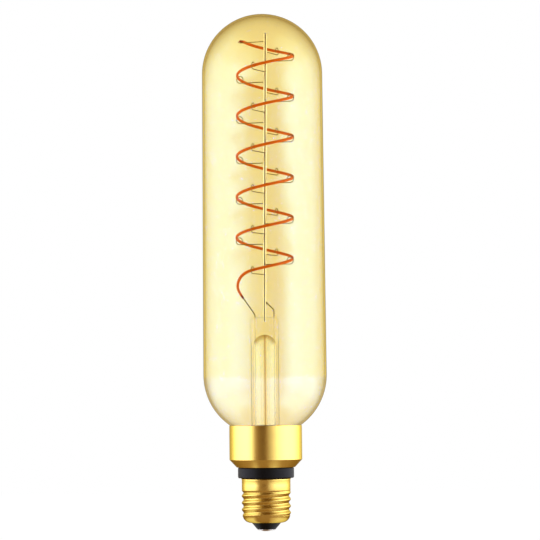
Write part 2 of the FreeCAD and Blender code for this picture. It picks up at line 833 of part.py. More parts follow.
def smoothing_capacitor():
    """Can capacitor lying on the front of the board, its two leads bent back into it."""
    bottom = board_bottom_height + capacitor_rise
    top = bottom + capacitor_length
    radius = (housing_bore_radius + board_front_y - part_bore_gap) / 2
    groove = bottom + capacitor_groove_rise
    can = spun(chain([
        point(0, bottom),
        point(radius, bottom),
        point(radius, groove - capacitor_groove),
        point(radius - capacitor_groove, groove),
        point(radius, groove + capacitor_groove),
        point(radius, top),
        point(0, top),
    ]))
    middle_y = board_front_y - radius
    can.translate(Vector(0, middle_y, 0))
    drop = part_lead_diameter * 2
    for side in (-1, 1):
        x = side * capacitor_lead_spacing / 2
        turn = Vector(x, middle_y, bottom - drop)
        path = routed([turn + Z_AXIS * drop, turn, Vector(x, board_front_y, turn.z)], part_lead_diameter)
        can = can.fuse(wire_along(path, part_lead_diameter))
    return can


def inductor():
    """Drum coil standing against the back of the board."""
    bottom = board_bottom_height + inductor_rise
    top = bottom + inductor_length
    winding = inductor_radius - inductor_winding_gap
    drum = spun(chain([
        point(0, bottom),
        point(inductor_radius, bottom),
        point(inductor_radius, bottom + inductor_flange),
        point(winding, bottom + inductor_flange),
        point(winding, top - inductor_flange),
        point(inductor_radius, top - inductor_flange),
        point(inductor_radius, top),
        point(0, top),
    ]))
    drum.translate(Vector(-(lead_x - inductor_winding_gap), board_back_y + inductor_radius, 0))
    return drum


def fusible_resistor():
    """Resistor on the back of the board, between the contact's wire and the rectifier."""
    bottom = Vector(resistor_x, resistor_y, board_bottom_height + resistor_rise)
    body = rod(bottom, Z_AXIS, resistor_length, resistor_radius)
    top = bottom + Z_AXIS * resistor_length
    turn = top + Z_AXIS * part_lead_diameter
    path = routed([top, turn, Vector(turn.x, board_back_y, turn.z)], part_lead_diameter / 2)
    lower = rod(bottom - Z_AXIS * resistor_lead_drop, Z_AXIS, resistor_lead_drop, part_lead_diameter / 2)
    return body.fuse([wire_along(path, part_lead_diameter), lower])


def live_wire():
    """From the resistor's lower lead to the head of the contact's eyelet."""
    start = Vector(resistor_x, resistor_y, board_bottom_height + resistor_rise - resistor_lead_drop)
    end = Vector(0, 0, eyelet_top_height)
    drop = (start.z - end.z) / 2
    corners = [start - Z_AXIS * drop, end + Z_AXIS * live_wire_upright]
    return wire_along(routed([start, *corners, end], feed_wire_diameter), feed_wire_diameter)


def neutral_wire_y():
    """The tucked wire touches the inside of the rolled thread at its narrowest."""
    reach = thread_root_radius - shell_sheet - feed_wire_diameter / 2
    return math.sqrt(reach ** 2 - neutral_wire_x ** 2)


def neutral_wire():
    """From the board, under the sleeve's rim and up its notch against the shell."""
    bottom = neutral_run_height
    board_y = board_back_y + feed_wire_diameter / 2
    tuck_y = neutral_wire_y()
    path = routed([
        Vector(neutral_wire_x, board_y, board_bottom_height + neutral_lap),
        Vector(neutral_wire_x, board_y, bottom),
        Vector(neutral_wire_x, tuck_y, bottom),
        Vector(neutral_wire_x, tuck_y, bottom + neutral_tuck),
    ], feed_wire_diameter)
    return wire_along(path, feed_wire_diameter)


def mast_group():
    """The mast and all that it carries, by name."""
    rod_body = mast()
    carried = {
        "mast": rod_body,
        "filament": filament(),
        "filament_terminal_top": filament_terminal_top(),
        "filament_terminal_bottom": filament_terminal_bottom(),
        "top_support_wire": top_support_wire(rod_body),
    }
    for index in range(1, round(helix_turns * hooks_per_turn) + 1):
        angle = helix_top_angle - 360 * index / hooks_per_turn
        carried[f"filament_hook_{index:02d}"] = hook(angle, rod_body)
    return {name: leaned(shape) for name, shape in carried.items()}


def pieces():
    """Every separate piece of the bulb by name."""
    carried = mast_group()
    left = lead_wire_left(carried["filament_terminal_bottom"])
    right = lead_wire_right(carried["mast"])
    made = {
        "glass_envelope": glass_envelope(),
        "stem_glass": stem_glass([carried["mast"], left, right]),
        "exhaust_tube": exhaust_tube(),
        "lead_wire_left": left,
        "lead_wire_right": right,
        "collar": collar(),
        "basing_cement": basing_cement(),
        "driver_housing": driver_housing(),
        "cap_shell": cap_shell(),
        "cap_insulator": cap_insulator(),
        "centre_contact": centre_contact(),
        "driver_board": driver_board(),
        "driver_chip": driver_chip(),
        "bridge_rectifier": bridge_rectifier(),
        "smoothing_capacitor": smoothing_capacitor(),
        "inductor": inductor(),
        "fusible_resistor": fusible_resistor(),
        "live_wire": live_wire(),
        "neutral_wire": neutral_wire(),
    }
    made.update(carried)
    return made


os.makedirs("parts", exist_ok=True)
for name, shape in pieces().items():
    shape.exportStep(f"parts/{name}.step")
    print(name, "solids", len(shape.Solids), "valid", shape.isValid(), "volume", round(shape.Volume, 2))
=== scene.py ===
import json
import math

import bmesh
import bpy
from mathutils import Matrix, Vector


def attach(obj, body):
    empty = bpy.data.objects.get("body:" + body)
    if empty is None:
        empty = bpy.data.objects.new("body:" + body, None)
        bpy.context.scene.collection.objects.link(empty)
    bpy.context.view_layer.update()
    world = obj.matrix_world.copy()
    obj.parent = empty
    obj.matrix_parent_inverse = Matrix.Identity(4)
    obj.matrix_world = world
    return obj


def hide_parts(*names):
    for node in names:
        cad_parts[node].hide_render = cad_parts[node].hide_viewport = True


# A tubular amber bulb on a white ground, lit by two large softboxes. Sizes are in metres.

# Camera, as in the photograph: low, level with the bulb's foot, and looking slightly up
CAMERA_DISTANCE = 1.507
CAMERA_HEIGHT = 0.071
AIM_HEIGHT = 0.139
AIM_SIDE = 0.0032
FRAME_WIDTH = 0.2886
CAMERA_ROLL = math.radians(-0.575)
SENSOR_WIDTH = 36
VIEW_END = 20

# Walls of glass that light may pass or be mirrored by in turn, with some to spare
LIGHT_BOUNCES = 40

# Light round the bulb: angle from the camera's side towards +X in degrees, and brightness
ROUND_LIGHT = (
    (-180, 1.0), (-145, 0.85), (-126, 1.3), (-110, 2.6), (-86, 2.8), (-54, 2.8), (-44, 1.65), (-33, 0.42),
    (-22, 0.2), (-11, 0.1), (-1, 0.12), (8, 0.76), (18, 1.62), (28, 2.05), (37, 2.35), (48, 2.8), (86, 2.8),
    (100, 2.8), (116, 2.3), (136, 1.5), (156, 1.0), (180, 1.0),
)
BRIGHTEST = 3.0

# Light by height: degrees above the horizon, with the share of the round light and the ceiling's own
ROUND_SHARE = ((-90, 1.0), (14, 1.0), (30, 0.56), (50, 0.5), (64, 0.12), (90, 0.1))
CEILING_LIGHT = ((-90, 0.0), (8, 0.0), (32, 0.2), (50, 0.2), (66, 0.12), (90, 0.12))

# Tints of the dark gap and of the softboxes, and the brightness from which the light is white
GAP_TINT = (1.0, 0.44, 0.04)
WHITE = (1.0, 1.0, 1.0)
WHITE_FROM = 1.0
SOFTBOX_TINT = (1.0, 1.0, 1.25)

# Outward lean of the right softbox: elevation where it starts, degrees for each degree above, and the most
LEAN_START = -1.2
LEAN_RATE = 10.0
LEAN_MOST = 23.0

# Angles round the bulb between which the lean grows, is whole, and fades
LEAN_GROWS_FROM = 0
LEAN_WHOLE_FROM = 25
LEAN_WHOLE_TO = 60
LEAN_ENDS_AT = 100

# Painted light on the table, dimmed round the bulb's foot as a painted shadow of the bulb
# White table as polished faces see it: share of the round light by distance from the bulb, and the least
FLOOR_SIDE = 1.2
FLOOR_PAINTED_LIGHT_SHARE = ((0.0, 0.36), (0.018, 0.36), (0.028, 0.14), (0.06, 0.15), (0.15, 0.5), (0.3, 0.8), (0.6, 0.8))
FLOOR_LEAST = 0.33

# Backdrop and table as the camera sees them: brightness, the table's paint, and its share without shadow
BACKDROP_BRIGHTNESS = 1.0
FLOOR_BRIGHTNESS = 1.04
FLOOR_PAINT = (0.8, 0.8, 0.8, 1)
FLOOR_GLOW_SHARE = 0.95

# Glass envelope, its sizes as in the frame, in metres
TUBE_FOOT_RADIUS = 0.0329
TUBE_TOP_RADIUS = 0.0322
DOME_CENTRE_HEIGHT = 0.24409
FOOT_CENTRE_HEIGHT = 0.08309
NECK_RADIUS = 0.0165
NECK_END_HEIGHT = 0.0410
NECK_BLEND_RADIUS = 0.003
ENVELOPE_WALL = 0.0009
ROUND_SEGMENTS = 128
DOME_STEPS = 60
SIDE_STEPS = 24
BULB_FOOT_STEPS = 40
NECK_BLEND_STEPS = 12

# Heights between which the coating's look changes, from the neck in the collar up to the dome
COLLAR_FADE_FROM = 0.0540
COLLAR_FADE_TO = 0.0557
NECK_FADE_FROM = 0.066
NECK_FADE_TO = 0.080
COATING_FADE = 0.003
DOME_FADE_FROM = 0.232
DOME_FADE_TO = 0.270

# Blur of what the glass mirrors, and how close to its outline the mirror's edge tint stays
GLASS_ROUGHNESS = 0.24
MIRROR_POWER = 4.0

# Stem, a round tube that is pressed to a flat slab at its top
STEM_RADIUS = 0.00745
STEM_WALL = 0.00115
FLARE_RIM = 0.0009
FLARE_TOP_HEIGHT = 0.04915
PINCH_BOTTOM_HEIGHT = 0.0970
PRESS_BOTTOM_HEIGHT = 0.1040
PRESS_TOP_HEIGHT = 0.1137
PRESS_HALF = 0.0029
PRESS_CORNER = 0.0016
STEM_BORE = STEM_RADIUS - STEM_WALL
HOLLOW_TOP_HEIGHT = 0.1044
ARCH_BOTTOM_HEIGHT = HOLLOW_TOP_HEIGHT - STEM_BORE
ROUND_SQUARENESS = 2
PRESS_SQUARENESS = 5
PRESS_TOP_SHARES = (0.75, 0.5, 0.25)
FLARE_STEPS = 16
STEM_STEPS = 12
PINCH_STEPS = 24
PRESS_CORNER_STEPS = 8
ARCH_STEPS = 24

# Glass of the stem and the exhaust tube
TUBE_ROUGHNESS = 0.06
TUBE_GLOSS = (0.01, 0.01, 0.01)
TUBE_EDGE_GLOSS = (0.08, 0.06, 0.02)
CAPILLARY_POWER = 26.0
HIDDEN_MILK = (0.02, 0.02, 0.02)
# Painted shade under the stem's arch: distance from the arch's centre where it begins, and the rise over
# which it grows
ARCH_SHADE_FROM = STEM_BORE * 0.45
ARCH_SHADE_RISE = STEM_BORE * 0.5

# Mast and hooks
MOUNT_LEAN = math.radians(0.72)
MAST_RADIUS = 0.001
HELIX_RADIUS = 0.015
HELIX_TOP_HEIGHT = 0.26349
HELIX_PITCH = 0.021755
HELIX_TOP_ANGLE = math.radians(155)
HOOKS_PER_TURN = 4
HOOK_COUNT = 23
HOOK_RING_RADIUS = 0.00185
HOOK_WIRE_RADIUS = 0.00023
HOOK_CURL_DEGREES = 290
HOOK_STEPS = 28
HOOK_ROOT_RADIUS = MAST_RADIUS * 0.7
HOOK_REACH_RADIUS = HELIX_RADIUS * 0.6
WIRE_SIDES = 10

# Lead wires, bare above the press and sealed below it
SEAL_FADE = 0.001
LEAD_WIRE_GRAIN = 500.0
LEAD_WIRE_ROUGHNESS_FROM = -0.5
LEAD_WIRE_ROUGHNESS_TO = 1.5

# Grain of the solid finishes: noise detail and the noise levels between which the roughness swings
GRAIN_DETAIL = 4.0
GRAIN_LOW = 0.3
GRAIN_HIGH = 0.7

# Screw shell
SHELL_SHEET = 0.0003
LIP_RADIUS = 0.01325
LIP_TOP_HEIGHT = 0.02815
LIP_BOTTOM_HEIGHT = 0.0271
SKIRT_RADIUS = 0.01295
THREAD_TOP_HEIGHT = 0.0218
THREAD_CREST_HEIGHT = 0.0169
THREAD_BOTTOM_HEIGHT = 0.0080
THREAD_MIDDLE_RADIUS = 0.012615
THREAD_DEPTH = 0.00097
THREAD_PITCH = 0.003629
THREAD_RUN_OUT = 0.0016
THREAD_STEPS = 90
FOOT_TOP_RADIUS = 0.01265
FOOT_EDGE_RADIUS = 0.0083
FOOT_EDGE_HEIGHT = 0.0044
FOOT_BULGE = 0.0010
FOOT_STEPS = 12


def new_material(name):
    mat = bpy.data.materials.new(name)
    mat.use_nodes = True
    mat.node_tree.nodes.clear()
    return mat, mat.node_tree.nodes, mat.node_tree.links


def surface(
    name, color, other, metallic, roughness, swing, grain, bump, stretch=(1, 1, 1), coated=False, **sockets,
):
    """Solid finish: two near colours, roughness and fine bumps that follow one grain over the surface.

    A coat, where there is one, is strongest where the face is seen square on.
    """
    mat, nodes, links = new_material(name)
    out = nodes.new("ShaderNodeOutputMaterial")
    shader = nodes.new("ShaderNodeBsdfPrincipled")
    shader.inputs["Metallic"].default_value = metallic
    for key, value in sockets.items():
        shader.inputs[key.replace("_", " ")].default_value = value
    coords = nodes.new("ShaderNodeTexCoord")
    mapping = nodes.new("ShaderNodeMapping")
    mapping.inputs["Scale"].default_value = stretch
    links.new(coords.outputs["Object"], mapping.inputs["Vector"])
    noise = nodes.new("ShaderNodeTexNoise")
    noise.inputs["Scale"].default_value = grain
    noise.inputs["Detail"].default_value = GRAIN_DETAIL
    links.new(mapping.outputs[0], noise.inputs["Vector"])
    links.new(color_mix(nodes, links, noise.outputs["Fac"], color, other), shader.inputs["Base Color"])
    rough = nodes.new("ShaderNodeMapRange")
    rough.inputs["From Min"].default_value = GRAIN_LOW
    rough.inputs["From Max"].default_value = GRAIN_HIGH
    rough.inputs["To Min"].default_value = roughness - swing
    rough.inputs["To Max"].default_value = roughness + swing
    links.new(noise.outputs["Fac"], rough.inputs["Value"])
    links.new(rough.outputs[0], shader.inputs["Roughness"])
    relief = nodes.new("ShaderNodeBump")
    relief.inputs["Strength"].default_value = 1.0
    relief.inputs["Distance"].default_value = bump
    links.new(noise.outputs["Fac"], relief.inputs["Height"])
    links.new(relief.outputs[0], shader.inputs["Normal"])
    if coated:
        square_on = math_node(nodes, links, "SUBTRACT", 1.0, edge_on(nodes))
        links.new(square_on, shader.inputs["Coat Weight"])
    links.new(shader.outputs[0], out.inputs["Surface"])
    return mat


def math_node(nodes, links, operation, first, second):
    """A maths node whose inputs are sockets or plain numbers."""
    node = nodes.new("ShaderNodeMath")
    node.operation = operation
    for socket, value in zip(node.inputs, (first, second)):
        if isinstance(value, (int, float)):
            socket.default_value = value
        else:
            links.new(value, socket)
    return node.outputs[0]


def color_mix(nodes, links, share, first, second):
    node = nodes.new("ShaderNodeMix")
    node.data_type = "RGBA"
    links.new(share, node.inputs["Factor"])
    for name, value in (("A", first), ("B", second)):
        if isinstance(value, tuple):
            node.inputs[name].default_value = (*value, 1)
        else:
            links.new(value, node.inputs[name])
    return node.outputs["Result"]


def step_up(nodes, links, value, low, high):
    """From 0 to 1 as a value climbs between two levels."""
    node = nodes.new("ShaderNodeMapRange")
    node.interpolation_type = "SMOOTHSTEP"
    node.inputs["From Min"].default_value = low
    node.inputs["From Max"].default_value = high
    links.new(value, node.inputs["Value"])
    return node.outputs[0]


def edge_on(nodes):
    """From 0 where a face is seen square on to 1 where it is seen edge on."""
    weight = nodes.new("ShaderNodeLayerWeight")
    weight.inputs["Blend"].default_value = 0.5
    return weight.outputs["Facing"]


def place_on_object(nodes, links):
    """The place of a point on the object, split into its three directions."""
    coords = nodes.new("ShaderNodeTexCoord")
    split = nodes.new("ShaderNodeSeparateXYZ")
    links.new(coords.outputs["Object"], split.inputs[0])
    return split.outputs


def added(nodes, links, first, second):
    """Two shaders added up."""
    both = nodes.new("ShaderNodeAddShader")
    links.new(first.outputs[0], both.inputs[0])
    links.new(second.outputs[0], both.inputs[1])
    return both


def zone_mix(nodes, links, height, zones):
    """Blend by height of the values for the hidden neck, the neck, the foot, the side and the dome."""
    above_collar = step_up(nodes, links, height, COLLAR_FADE_FROM, COLLAR_FADE_TO)
    above_neck = step_up(nodes, links, height, NECK_FADE_FROM, NECK_FADE_TO)
    above_foot = step_up(nodes, links, height, FOOT_CENTRE_HEIGHT - COATING_FADE, FOOT_CENTRE_HEIGHT)
    in_dome = step_up(nodes, links, height, DOME_FADE_FROM, DOME_FADE_TO)
    neck = color_mix(nodes, links, above_collar, zones[0], zones[1])
    below = color_mix(nodes, links, above_neck, neck, zones[2])
    return color_mix(nodes, links, in_dome, color_mix(nodes, links, above_foot, below, zones[3]), zones[4])


def thin_glass(name, tints, edge_tints, edge_powers, mirrors, edge_mirror, one_sided=False):
    """Clear wall that passes tinted light and mirrors the rest, with one tint for each zone by height."""
    mat, nodes, links = new_material(name)
    out = nodes.new("ShaderNodeOutputMaterial")
    clear = nodes.new("ShaderNodeBsdfTransparent")
    gloss = nodes.new("ShaderNodeBsdfGlossy")
    gloss.inputs["Roughness"].default_value = GLASS_ROUGHNESS
    facing = edge_on(nodes)
    rim = math_node(nodes, links, "POWER", facing, MIRROR_POWER)
    passed = []
    mirrored = []
    for tint, edge_tint, power, mirror in zip(tints, edge_tints, edge_powers, mirrors):
        edge = math_node(nodes, links, "POWER", facing, power)
        passed.append(color_mix(nodes, links, edge, tint, edge_tint))
        mirrored.append(color_mix(nodes, links, rim, mirror, edge_mirror))
    height = place_on_object(nodes, links)["Z"]
    links.new(zone_mix(nodes, links, height, passed), clear.inputs["Color"])
    shine = zone_mix(nodes, links, height, mirrored)
    if one_sided:
        side = nodes.new("ShaderNodeNewGeometry")
        shine = color_mix(nodes, links, side.outputs["Backfacing"], shine, (0, 0, 0))
    links.new(shine, gloss.inputs["Color"])
    links.new(added(nodes, links, clear, gloss).outputs[0], out.inputs["Surface"])
    return mat


def arch_shade(nodes, links):
    """Painted shade: from 0 in the stem's hollow to 1 along the arch that closes it, where the glass's tint
    darkens.
    """
    place = place_on_object(nodes, links)
    rise = math_node(nodes, links, "SUBTRACT", place["Z"], ARCH_BOTTOM_HEIGHT)
    across = math_node(nodes, links, "POWER", place["X"], 2)
    upward = math_node(nodes, links, "POWER", rise, 2)
    reach = math_node(nodes, links, "SQRT", math_node(nodes, links, "ADD", across, upward), 0)
    near_arch = step_up(nodes, links, reach, ARCH_SHADE_FROM, STEM_BORE)
    above = step_up(nodes, links, rise, 0, ARCH_SHADE_RISE)
    return math_node(nodes, links, "MULTIPLY", near_arch, above)


def tube_glass(name, tint, edge_tint, power, milk=None, painted_arch_shade=False, core_tint=None):
    """Clear tube wall: light passes straight and darkens where it is seen edge on or down its middle, and
    with painted shade under the arch.
    """
    mat, nodes, links = new_material(name)
    out = nodes.new("ShaderNodeOutputMaterial")
    clear = nodes.new("ShaderNodeBsdfTransparent")
    gloss = nodes.new("ShaderNodeBsdfGlossy")
    gloss.inputs["Roughness"].default_value = TUBE_ROUGHNESS
    facing = edge_on(nodes)
    edge = math_node(nodes, links, "POWER", facing, power)
    shade = edge
    # Painted shade along the hollow's arch, as a darker tint of the glass
    if painted_arch_shade:
        shade = math_node(nodes, links, "MAXIMUM", edge, arch_shade(nodes, links))
    passed = color_mix(nodes, links, shade, tint, edge_tint)
    if core_tint:
        square_on = math_node(nodes, links, "SUBTRACT", 1.0, facing)
        core = math_node(nodes, links, "POWER", square_on, CAPILLARY_POWER)
        passed = color_mix(nodes, links, core, passed, core_tint)
    links.new(passed, clear.inputs["Color"])
    links.new(color_mix(nodes, links, edge, TUBE_GLOSS, TUBE_EDGE_GLOSS), gloss.inputs["Color"])
    result = added(nodes, links, clear, gloss)
    if milk:
        haze = nodes.new("ShaderNodeBsdfTranslucent")
        height = place_on_object(nodes, links)["Z"]
        above_collar = step_up(nodes, links, height, COLLAR_FADE_FROM, COLLAR_FADE_TO)
        links.new(color_mix(nodes, links, above_collar, HIDDEN_MILK, milk), haze.inputs["Color"])
        result = added(nodes, links, result, haze)
    links.new(result.outputs[0], out.inputs["Surface"])
    return mat


def sealed_wire(name, bare, sealed):
    """Dull wire, paler along the length below the press."""
    mat, nodes, links = new_material(name)
    out = nodes.new("ShaderNodeOutputMaterial")
    shader = nodes.new("ShaderNodeBsdfPrincipled")
    coords = nodes.new("ShaderNodeTexCoord")
    split = nodes.new("ShaderNodeSeparateXYZ")
    links.new(coords.outputs["Object"], split.inputs[0])
    free = step_up(
        nodes, links, split.outputs["Z"], PRESS_TOP_HEIGHT - SEAL_FADE, PRESS_TOP_HEIGHT + SEAL_FADE,
    )
    links.new(color_mix(nodes, links, free, sealed, bare), shader.inputs["Base Color"])
    links.new(free, shader.inputs["Metallic"])
    noise = nodes.new("ShaderNodeTexNoise")
    noise.inputs["Scale"].default_value = LEAD_WIRE_GRAIN
    links.new(coords.outputs["Object"], noise.inputs["Vector"])
    rough = step_up(nodes, links, noise.outputs["Fac"], LEAD_WIRE_ROUGHNESS_FROM, LEAD_WIRE_ROUGHNESS_TO)
    links.new(rough, shader.inputs["Roughness"])
    links.new(shader.outputs[0], out.inputs["Surface"])
    return mat


def put(node, mat):
    """Give a node of the frame its material."""
    piece = frame["nodes"][node]
    piece.data.materials.clear()
    piece.data.materials.append(mat)


def light_tint(nodes, links, level):
    """Warm where the surroundings are dark, white where they are bright, a little cool in the softboxes."""
    share = math_node(nodes, links, "DIVIDE", level, WHITE_FROM)
    cool = step_up(nodes, links, level, WHITE_FROM, BRIGHTEST)
    return color_mix(nodes, links, cool, color_mix(nodes, links, share, GAP_TINT, WHITE), SOFTBOX_TINT)


def ramp(nodes, links, value, stops, low, high, top):
    """Level of a value on a smooth curve through stops of place and level, the highest of them the top."""
    scaled = nodes.new("ShaderNodeMapRange")
    scaled.inputs["From Min"].default_value = low
    scaled.inputs["From Max"].default_value = high
    links.new(value, scaled.inputs["Value"])
    node = nodes.new("ShaderNodeValToRGB")
    node.color_ramp.interpolation = "EASE"
    elements = node.color_ramp.elements
    first, last = elements[0], elements[1]
    first.position, last.position = 0.0, 1.0
    first.color = (*[stops[0][1] / top] * 3, 1)
    last.color = (*[stops[-1][1] / top] * 3, 1)
    for place, level in stops[1:-1]:
        element = elements.new((place - low) / (high - low))
        element.color = (*[level / top] * 3, 1)
    links.new(scaled.outputs[0], node.inputs[0])
    return math_node(nodes, links, "MULTIPLY", node.outputs["Color"], top)


def arc_points(centre, radius, from_degrees, to_degrees, count):
    """Points on an arc of a profile, as radius and height."""
    points = []
    for index in range(count + 1):
        turn = math.radians(from_degrees + (to_degrees - from_degrees) * index / count)
        points.append((centre[0] + radius * math.cos(turn), centre[1] + radius * math.sin(turn)))
    return points


def ring_skin(name, rings, materials, split=None, closed=False):
    """A smooth skin over rings of points, with the second material from the split on.

    A ring of a single point closes an end.
    """
    mesh = bpy.data.meshes.new(name)
    shape = bmesh.new()
    made = [[shape.verts.new(place) for place in ring] for ring in rings]
    pairs = list(zip(made, made[1:]))
    if closed:
        pairs.append((made[-1], made[0]))
    for place, (upper, lower) in enumerate(pairs):
        count = max(len(upper), len(lower))
        for index in range(count):
            after = (index + 1) % count
            if len(upper) == 1:
                corners = (upper[0], lower[index], lower[after])
            elif len(lower) == 1:
                corners = (upper[index], lower[0], upper[after])
            else:
                corners = (upper[index], lower[index], lower[after], upper[after])
            face = shape.faces.new(corners)
            face.smooth = True
            face.material_index = int(split is not None and place >= split)
    shape.to_mesh(mesh)
    shape.free()
    for mat in materials:
        mesh.materials.append(mat)
    piece = bpy.data.objects.new(name, mesh)
    bpy.context.collection.objects.link(piece)
    return piece


def round_ring(radius, height, shift=(0.0, 0.0)):
    """Points of a circle at a height, or one point where the radius is nothing."""
    if radius == 0:
        return [(0, 0, height)]
    ring = []
    for index in range(ROUND_SEGMENTS):
        turn = 2 * math.pi * index / ROUND_SEGMENTS
        ring.append((radius * math.cos(turn) + shift[0], radius * math.sin(turn) + shift[1], height))
    return ring


def stands_for(piece, node):
    """The piece takes the place of a CAD node and rides where it does."""
    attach(piece, "root")
    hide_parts(node)


def round_wire(name, path, radius, mat):
    """A round wire along a path of points, its ends closed."""
    places = [Vector(place) for place in path]
    ahead = [(b - a).normalized() for a, b in zip(places, places[1:])]
    headings = [ahead[0]]
    headings += [(a + b).normalized() for a, b in zip(ahead, ahead[1:])]
    headings.append(ahead[-1])
    across = headings[0].orthogonal().normalized()
    rings = [[places[0]]]
    for place, heading in zip(places, headings):
        across = (across - heading * across.dot(heading)).normalized()
        other = heading.cross(across)
        ring = []
        for index in range(WIRE_SIDES):
            turn = 2 * math.pi * index / WIRE_SIDES
            ring.append(place + (across * math.cos(turn) + other * math.sin(turn)) * radius)
        rings.append(ring)
    rings.append([places[-1]])
    return ring_skin(name, rings[::-1], [mat])


def leaned(place):
    """A place of the mast's group, tipped sideways about the press as the mast stands in it."""
    pivot = Vector((0, 0, PRESS_TOP_HEIGHT))
    return pivot + Matrix.Rotation(MOUNT_LEAN, 3, "Y") @ (Vector(place) - pivot)


def hook(index, mat):
    """A wire from the mast, straight out under the strip and curled over it into an open ring."""
    angle = HELIX_TOP_ANGLE - 2 * math.pi * index / HOOKS_PER_TURN
    height = HELIX_TOP_HEIGHT - HELIX_PITCH * index / HOOKS_PER_TURN
    flat = [(HOOK_ROOT_RADIUS, height - HOOK_RING_RADIUS), (HOOK_REACH_RADIUS, height - HOOK_RING_RADIUS)]
    flat += arc_points((HELIX_RADIUS, height), HOOK_RING_RADIUS, -90, HOOK_CURL_DEGREES - 90, HOOK_STEPS)
    path = [leaned((r * math.cos(angle), r * math.sin(angle), z)) for r, z in flat]
    piece = round_wire(f"hook_{index:02d}", path, HOOK_WIRE_RADIUS, mat)
    stands_for(piece, f"filament_hook_{index:02d}")


def smooth_step(value, low, high):
    share = max(0.0, min(1.0, (value - low) / (high - low)))
    return share * share * (3 - 2 * share)


def pressed_ring(half_width, half_depth, squareness, height):
    """A ring between a round one and a flat slab with rounded edges."""
    if half_width == 0:
        return [(0, 0, height)]
    ring = []
    for index in range(ROUND_SEGMENTS):
        turn = 2 * math.pi * index / ROUND_SEGMENTS
        x = math.copysign(abs(math.cos(turn)) ** (2 / squareness), math.cos(turn))
        y = math.copysign(abs(math.sin(turn)) ** (2 / squareness), math.sin(turn))
        ring.append((half_width * x, half_depth * y, height))
    return ring


def stem_ring(radius, half_press, height):
    """Half width, half depth and squareness of the stem at a height, squeezed above the pinch."""
    squeeze = smooth_step(height, PINCH_BOTTOM_HEIGHT, PRESS_BOTTOM_HEIGHT)
    half_depth = radius + (half_press - radius) * squeeze
    return radius, half_depth, ROUND_SQUARENESS + (PRESS_SQUARENESS - ROUND_SQUARENESS) * squeeze


def stem_outside():
    """Rings of the stem's outer face, from the flare's rim up to the middle of the press's top."""
    flare_centre = (NECK_RADIUS - FLARE_RIM, FLARE_TOP_HEIGHT)
    flare_radius = FLARE_TOP_HEIGHT - NECK_END_HEIGHT
    rings = [round_ring(NECK_RADIUS, NECK_END_HEIGHT)]
    for radius, height in arc_points(flare_centre, flare_radius, 270, 180, FLARE_STEPS):
        rings.append(round_ring(radius, height))
    for index in range(1, STEM_STEPS + 1):
        height = FLARE_TOP_HEIGHT + (PINCH_BOTTOM_HEIGHT - FLARE_TOP_HEIGHT) * index / STEM_STEPS
        rings.append(round_ring(STEM_RADIUS, height))
    side_top = PRESS_TOP_HEIGHT - PRESS_CORNER
    for index in range(1, PINCH_STEPS + 1):
        height = PINCH_BOTTOM_HEIGHT + (side_top - PINCH_BOTTOM_HEIGHT) * index / PINCH_STEPS
        rings.append(pressed_ring(*stem_ring(STEM_RADIUS, PRESS_HALF, height), height))
    for index in range(1, PRESS_CORNER_STEPS + 1):
        turn = math.pi / 2 * index / PRESS_CORNER_STEPS
        shrink = PRESS_CORNER * (1 - math.cos(turn))
        height = side_top + PRESS_CORNER * math.sin(turn)
        rings.append(pressed_ring(STEM_RADIUS - shrink, PRESS_HALF - shrink / 2, PRESS_SQUARENESS, height))
    for share in PRESS_TOP_SHARES:
        width = (STEM_RADIUS - PRESS_CORNER) * share
        depth = (PRESS_HALF - PRESS_CORNER / 2) * share
        rings.append(pressed_ring(width, depth, PRESS_SQUARENESS, PRESS_TOP_HEIGHT))
    rings.append([(0, 0, PRESS_TOP_HEIGHT)])
    return rings


def stem_hollow():
    """Rings of the stem's hollow, from the top of its arch down to the flare's rim."""
    flare_centre = (NECK_RADIUS - FLARE_RIM, FLARE_TOP_HEIGHT)
    flare_radius = FLARE_TOP_HEIGHT - NECK_END_HEIGHT + STEM_WALL
    rings = [[(0, 0, HOLLOW_TOP_HEIGHT)]]
    for index in range(1, ARCH_STEPS + 1):
        turn = math.pi / 2 * index / ARCH_STEPS
        height = ARCH_BOTTOM_HEIGHT + STEM_BORE * math.cos(turn)
        width, depth, squareness = stem_ring(STEM_BORE, PRESS_HALF - STEM_WALL, height)
        narrow = math.sin(turn)
        rings.append(pressed_ring(width * narrow, depth * math.sqrt(narrow), squareness, height))
    for index in range(1, STEM_STEPS + 1):
        height = ARCH_BOTTOM_HEIGHT + (FLARE_TOP_HEIGHT - ARCH_BOTTOM_HEIGHT) * index / STEM_STEPS
        rings.append(pressed_ring(*stem_ring(STEM_BORE, PRESS_HALF - STEM_WALL, height), height))
    for radius, height in arc_points(flare_centre, flare_radius, 180, 270, FLARE_STEPS)[1:]:
        rings.append(round_ring(radius, height))
    rings.append(round_ring(NECK_RADIUS, NECK_END_HEIGHT - STEM_WALL))
    return rings


def stem(outer_glass, inner_glass):
    """Flared tube whose top is pinched flat round the wires, hollow up to an arch."""
    outside = stem_outside()
    hollow = stem_hollow()
    piece = ring_skin("stem", outside[::-1] + hollow[::-1], [outer_glass, inner_glass], len(outside))
    stands_for(piece, "stem_glass")


def thread_ring(height, inset):
    """The shell's round at a height: off-centre in the thread, so that it winds as it turns."""
    from_end = min(THREAD_TOP_HEIGHT - height, height - THREAD_BOTTOM_HEIGHT)
    share = smooth_step(from_end, 0, THREAD_RUN_OUT)
    plain = SKIRT_RADIUS if height > THREAD_CREST_HEIGHT else FOOT_TOP_RADIUS
    radius = THREAD_MIDDLE_RADIUS * share + plain * (1 - share)
    offset = THREAD_DEPTH / 2 * share
    turn = 2 * math.pi * (height - THREAD_CREST_HEIGHT) / THREAD_PITCH
    return round_ring(radius - inset, height, (offset * math.cos(turn), offset * math.sin(turn)))


